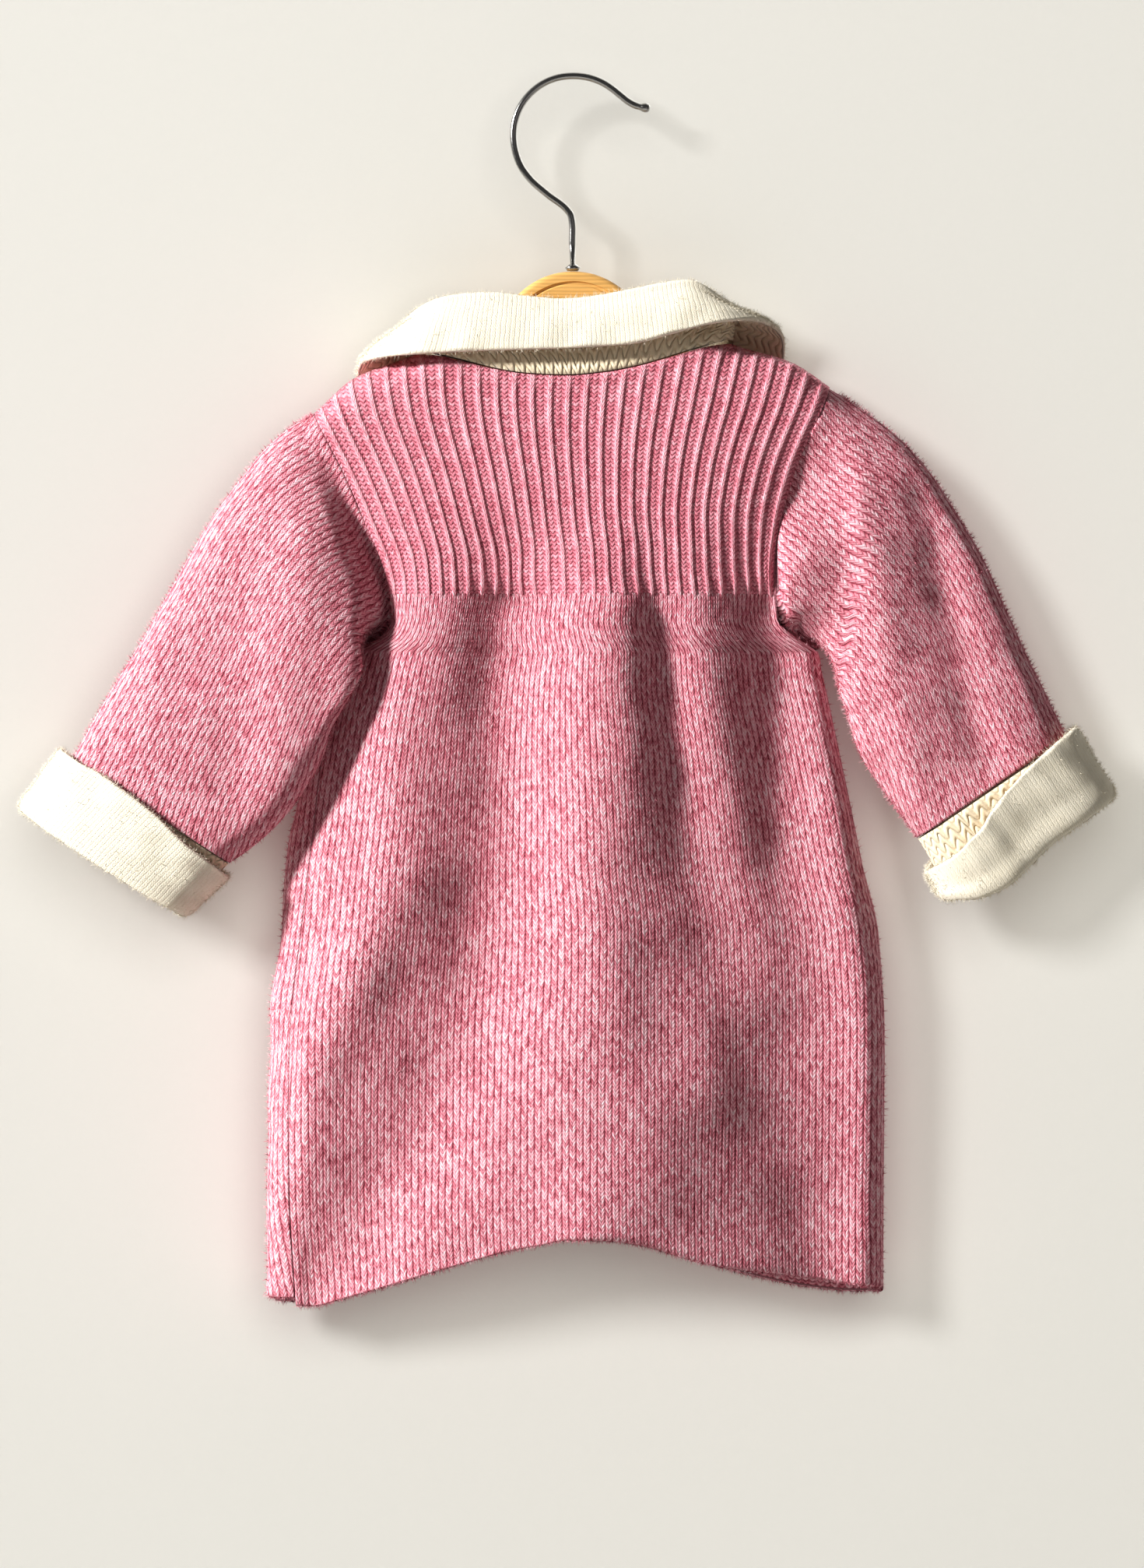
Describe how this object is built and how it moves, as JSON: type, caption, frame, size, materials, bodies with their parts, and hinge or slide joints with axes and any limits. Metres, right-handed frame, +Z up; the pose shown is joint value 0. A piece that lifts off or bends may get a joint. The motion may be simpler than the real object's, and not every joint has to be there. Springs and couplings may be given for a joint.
{
  "type": "sweater dress on a clothes hanger",
  "caption": "Flared knit sweater dress with ribbed yoke, turned-back cuffs and fold-over collar, hung flat on a wooden clothes hanger with a wire hook.",
  "frame": {"origin": "inner top of the hanger's hook, where a rail or a wall hook holds it", "axes": "+X to the right of the pictured side, +Y away from it towards the garment's front, +Z up"},
  "size_m": [0.4795, 0.0647, 0.5392],
  "materials": {
    "pink_knit": "heathered wool knit",
    "cream_knit": "brushed wool knit",
    "hanger_wood": "varnished",
    "hook_wire": "polished"
  },
  "bodies": {
    "root": {"back": "pink_knit", "front": "pink_knit", "sleeve_left": "pink_knit", "sleeve_right": "pink_knit", "cuff_left": "cream_knit", "cuff_right": "cream_knit", "collar": "cream_knit", "hanger": "hanger_wood", "hook": "hook_wire"}
  },
  "joints": []
}
